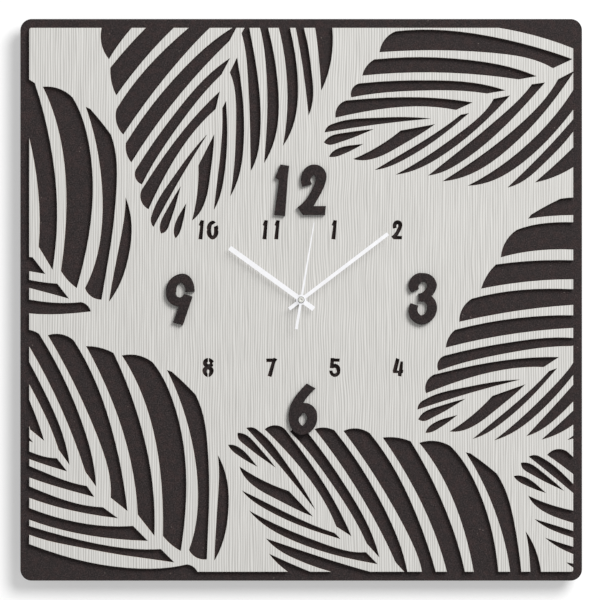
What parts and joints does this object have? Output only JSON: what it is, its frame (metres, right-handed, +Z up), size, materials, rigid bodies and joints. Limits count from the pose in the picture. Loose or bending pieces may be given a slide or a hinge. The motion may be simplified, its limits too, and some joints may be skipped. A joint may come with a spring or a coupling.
{
  "type": "wall clock",
  "caption": "Square layered panel wall clock with a cut-out leaf pattern, raised and stencilled numerals, baton hands and a geared battery movement.",
  "frame": {"origin": "on the hand shaft at the middle of the square dial, midway between the wall plane and the foremost point of the second-hand cap, which is the centre of the bounding box", "axes": "the dial faces -Y, +X is to the right of the dial as it is read, +Z is up, +Y points to the wall"},
  "size_m": [0.5, 0.039, 0.5],
  "materials": {
    "dark_board": "matt dyed fibreboard with laser-browned edges",
    "light_board": "satin pale laminate with fine upright grain",
    "dark_numeral": "matt dyed fibreboard",
    "white_hand": "satin white enamel on aluminium",
    "black_plastic": "moulded black plastic with fine texture",
    "pale_plastic": "natural acetal",
    "steel": "zinc-plated sheet steel",
    "brass": "turned brass",
    "copper": "enamelled copper wire",
    "rubber": "matt black rubber",
    "board": "solder-masked glass fibre",
    "cell": "plain printed sleeve with bare metal ends",
    "magnet": "sintered magnet"
  },
  "bodies": {
    "clock_body": {"base_panel": "dark_board", "front_panel": "light_board", "numeral_twelve_one": "dark_numeral", "numeral_twelve_two": "dark_numeral", "numeral_three": "dark_numeral", "numeral_six": "dark_numeral", "numeral_nine": "dark_numeral", "gasket": "rubber", "hanger": "steel", "washer": "steel", "hex_nut": "brass", "wall_spacers": "rubber", "movement_case": "black_plastic", "middle_plate": "pale_plastic", "movement_cover": "black_plastic", "circuit_board": "board", "quartz_crystal": "steel", "contact_positive": "steel", "contact_negative": "steel", "stator": "steel", "coil_core": "steel", "coil_bobbin": "pale_plastic", "coil_winding": "copper"},
    "battery": {"battery": "cell"},
    "second_set": {"second_hand": "white_hand", "second_wheel": "pale_plastic"},
    "minute_set": {"minute_hand": "white_hand", "minute_pipe": "pale_plastic"},
    "hour_set": {"hour_hand": "white_hand", "hour_wheel": "pale_plastic"},
    "motion_set": {"motion_wheel": "pale_plastic"},
    "knob": {"setting_knob": "black_plastic"},
    "centre_set": {"centre_wheel": "pale_plastic"},
    "third_set": {"third_wheel": "pale_plastic"},
    "intermediate_set": {"intermediate_wheel": "pale_plastic"},
    "rotor": {"rotor_magnet": "magnet", "rotor_pinion": "pale_plastic"}
  },
  "joints": [
    {"name": "second_hand_spin", "type": "hinge", "parent": "clock_body", "child": "second_set", "pos_m": [0, 0, 0], "axis": [0, 1, 0], "continuous": true},
    {"name": "minute_hand_spin", "type": "hinge", "parent": "clock_body", "child": "minute_set", "pos_m": [0, 0, 0], "axis": [0, 1, 0], "continuous": true},
    {"name": "hour_hand_spin", "type": "hinge", "parent": "clock_body", "child": "hour_set", "pos_m": [0, 0, 0], "axis": [0, 1, 0], "continuous": true},
    {"name": "motion_wheel_spin", "type": "hinge", "parent": "clock_body", "child": "motion_set", "pos_m": [-0.0052, 0, 0.003], "axis": [0, 1, 0], "continuous": true},
    {"name": "setting_knob_spin", "type": "hinge", "parent": "clock_body", "child": "knob", "pos_m": [-0.01072, 0, 0.00619], "axis": [0, 1, 0], "continuous": true},
    {"name": "centre_wheel_spin", "type": "hinge", "parent": "clock_body", "child": "centre_set", "pos_m": [0, 0, 0], "axis": [0, 1, 0], "continuous": true},
    {"name": "third_wheel_spin", "type": "hinge", "parent": "clock_body", "child": "third_set", "pos_m": [0.0034, 0, 0.00589], "axis": [0, 1, 0], "continuous": true},
    {"name": "intermediate_wheel_spin", "type": "hinge", "parent": "clock_body", "child": "intermediate_set", "pos_m": [0.00592, 0, -0.00342], "axis": [0, 1, 0], "continuous": true},
    {"name": "rotor_spin", "type": "hinge", "parent": "clock_body", "child": "rotor", "pos_m": [0.01089, 0, -0.0043], "axis": [0, 1, 0], "continuous": true},
    {"name": "battery_slide", "type": "slide", "parent": "clock_body", "child": "battery", "axis": [0, 1, 0], "range_m": [0, 0.03]}
  ],
  "couplings": [
    {"joint": "intermediate_wheel_spin", "follows": "second_hand_spin", "ratio": -5},
    {"joint": "rotor_spin", "follows": "second_hand_spin", "ratio": 30},
    {"joint": "third_wheel_spin", "follows": "second_hand_spin", "ratio": -0.13333},
    {"joint": "centre_wheel_spin", "follows": "second_hand_spin", "ratio": 0.016667},
    {"joint": "motion_wheel_spin", "follows": "minute_hand_spin", "ratio": -0.33333},
    {"joint": "hour_hand_spin", "follows": "minute_hand_spin", "ratio": 0.083333},
    {"joint": "setting_knob_spin", "follows": "minute_hand_spin", "ratio": 0.8}
  ]
}
